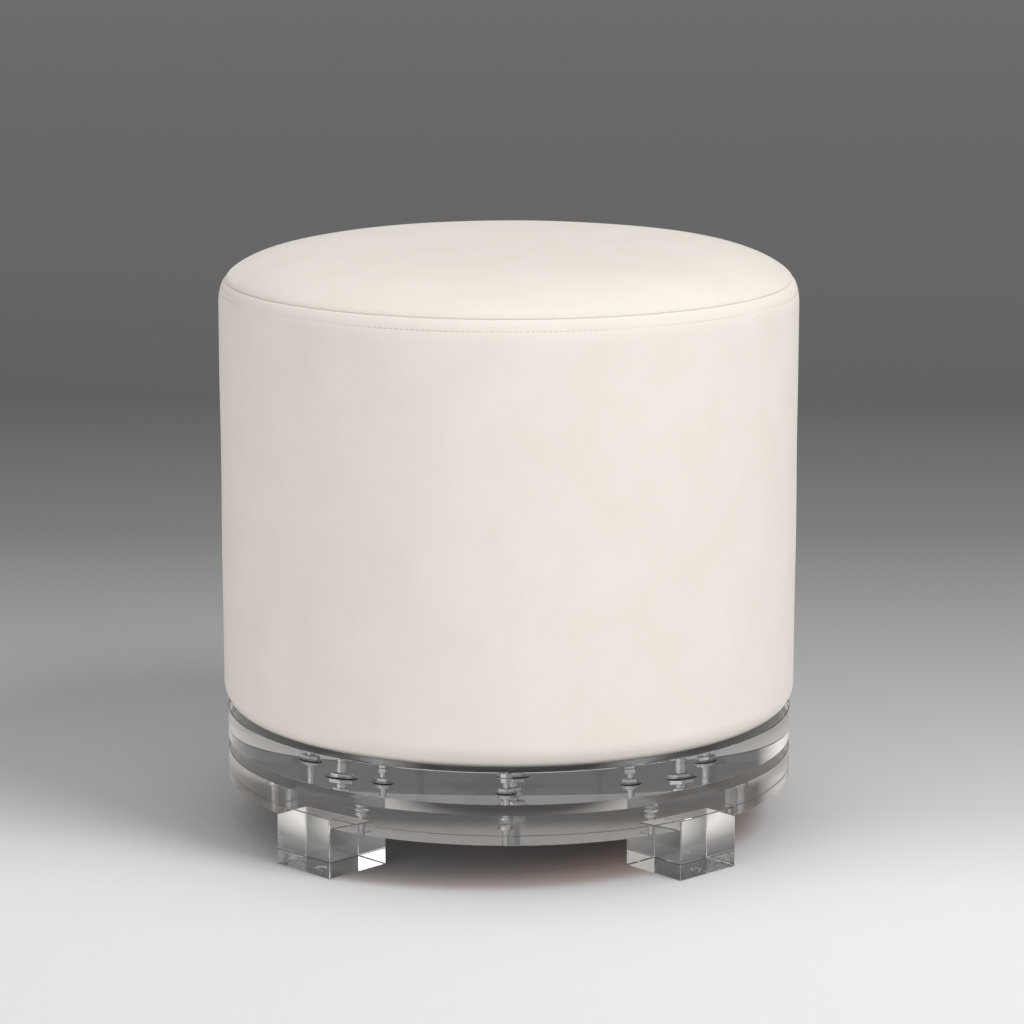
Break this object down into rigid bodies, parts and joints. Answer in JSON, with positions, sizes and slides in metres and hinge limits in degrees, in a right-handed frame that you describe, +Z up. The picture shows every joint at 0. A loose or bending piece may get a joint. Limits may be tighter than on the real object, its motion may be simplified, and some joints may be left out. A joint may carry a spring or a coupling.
{
  "type": "round swivel ottoman",
  "caption": "Round upholstered ottoman whose drum swivels on a ring bearing between two clear acrylic discs on square block feet.",
  "frame": {"origin": "On the floor plane, under the swivel axis.", "axes": "+Z up along the swivel axis, -Y towards the front, +X to the right as seen from the front"},
  "size_m": [0.4572, 0.4572, 0.466],
  "materials": {
    "clear_acrylic": "clear, flame-polished",
    "bright_steel": "bright",
    "zinc_steel": "zinc-plated",
    "aluminium": "turned, satin",
    "white_nylon": "moulded",
    "black_rubber": "matte",
    "black_cloth": "non-woven",
    "plywood": "sanded, raw",
    "pine": "planed, raw",
    "hardboard": "raw",
    "foam": "open-cell",
    "cream_fabric": "brushed, matte"
  },
  "bodies": {
    "base": {"foot_front_left": "clear_acrylic", "foot_front_right": "clear_acrylic", "foot_back_left": "clear_acrylic", "foot_back_right": "clear_acrylic", "foot_layer": "clear_acrylic", "lower_disc": "clear_acrylic", "ring_screws": "bright_steel", "bearing_outer_ring": "aluminium", "bearing_balls": "bright_steel", "ball_cage": "white_nylon"},
    "seat": {"bearing_inner_ring": "aluminium", "ring_nuts": "bright_steel", "lock_nuts": "bright_steel", "upper_disc": "clear_acrylic", "disc_bushes": "bright_steel", "rubber_washers": "black_rubber", "disc_washers": "bright_steel", "disc_nuts": "bright_steel", "disc_plugs": "clear_acrylic", "hanger_bolts": "bright_steel", "dust_cloth": "black_cloth", "bottom_board": "plywood", "posts": "pine", "post_screws": "zinc_steel", "wall_liner": "hardboard", "top_board": "plywood", "side_foam": "foam", "seat_foam": "foam", "hem_staples": "zinc_steel", "side_band": "cream_fabric", "top_panel": "cream_fabric"}
  },
  "joints": [
    {"name": "swivel", "type": "hinge", "parent": "base", "child": "seat", "pos_m": [0, 0, 0.0675], "axis": [0, 0, 1], "continuous": true}
  ]
}
